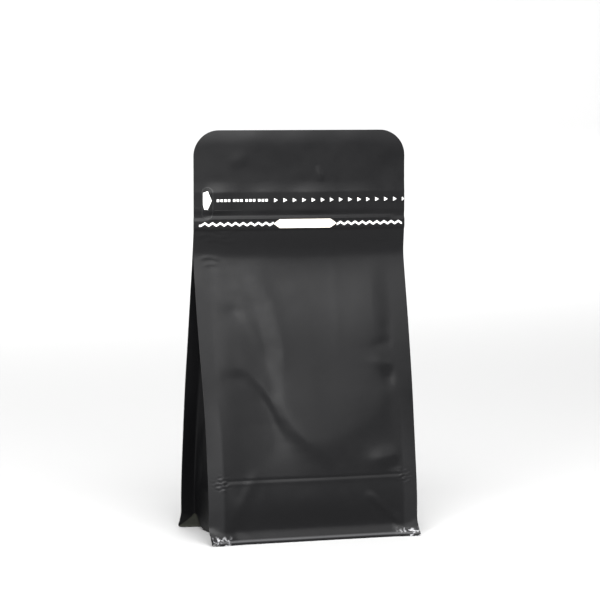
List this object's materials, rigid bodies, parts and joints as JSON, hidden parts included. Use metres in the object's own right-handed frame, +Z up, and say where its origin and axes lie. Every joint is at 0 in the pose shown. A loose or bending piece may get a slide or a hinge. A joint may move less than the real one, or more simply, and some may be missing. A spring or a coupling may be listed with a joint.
{
  "type": "flat-bottom pouch",
  "caption": "Shut, standing flat-bottom food pouch of matt film with side gussets, sealed fins and foot skirts, a tear band and a zip line across its header.",
  "frame": {"origin": "middle of the base, on the surface that the pouch stands on", "axes": "+Z up, +Y towards the back panel (the zip and the tear band face -Y), +X along the base to the right"},
  "size_m": [0.136, 0.0782, 0.2515],
  "materials": {
    "film": "matt black laminated film with a soft satin sheen",
    "print": "opaque cream-white print on the film",
    "base_film": "matt dark grey film of the base gusset"
  },
  "bodies": {
    "root": {"pouch": "film"}
  },
  "joints": []
}
